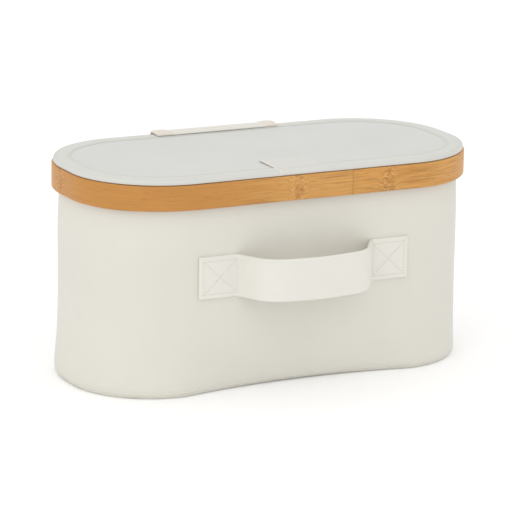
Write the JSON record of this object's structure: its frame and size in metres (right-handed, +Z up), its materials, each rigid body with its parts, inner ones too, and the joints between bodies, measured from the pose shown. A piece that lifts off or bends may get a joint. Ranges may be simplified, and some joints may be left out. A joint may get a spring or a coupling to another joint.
{
  "type": "bread bin",
  "caption": "Soft-sided bread bin with board-stiffened fabric walls, a bent bamboo band round the mouth, a flat lid on a fabric hinge and a front strap handle",
  "frame": {"origin": "on the resting plane, under the middle of the bamboo band", "axes": "+X along the length towards the right end, -Y towards the front with the handle, +Z up"},
  "size_m": [0.38, 0.2168, 0.1965],
  "materials": {
    "bamboo": "satin lacquered bamboo, horizontal grain",
    "steel_wire": "plain staple wire",
    "coated_fabric": "matt coated polyester, cream",
    "fibreboard": "plain hardboard, covered on both sides",
    "lining_fabric": "smooth woven lining",
    "webbing": "plain webbing inside the handle",
    "foam": "thin wadding"
  },
  "bodies": {
    "tub": {"bamboo_band": "bamboo", "band_staples": "steel_wire", "outer_skin": "coated_fabric", "front_board": "fibreboard", "back_board": "fibreboard", "left_end_board": "fibreboard", "right_end_board": "fibreboard", "wall_lining": "lining_fabric", "base_cover": "coated_fabric", "base_board": "fibreboard", "floor_lining": "lining_fabric", "handle_cover": "coated_fabric", "handle_core": "webbing", "handle_patches": "webbing", "hinge_tail": "coated_fabric", "hinge_patch": "webbing"},
    "lid": {"lid_lining": "lining_fabric", "lid_board": "fibreboard", "lid_foam": "foam", "lid_top_skin": "coated_fabric", "lid_binding": "coated_fabric", "hinge_lid_leaf": "coated_fabric", "pull_tab_base": "coated_fabric"},
    "tab_flap": {"pull_tab_flap": "coated_fabric"}
  },
  "joints": [
    {"name": "lid_hinge", "type": "hinge", "parent": "tub", "child": "lid", "pos_m": [0, 0.0933, 0.193], "axis": [-1, 0, 0], "range_deg": [0, 110]},
    {"name": "tab_fold", "type": "hinge", "parent": "lid", "child": "tab_flap", "pos_m": [0, -0.078, 0.1959], "axis": [1, 0, 0], "range_deg": [0, 110]}
  ]
}
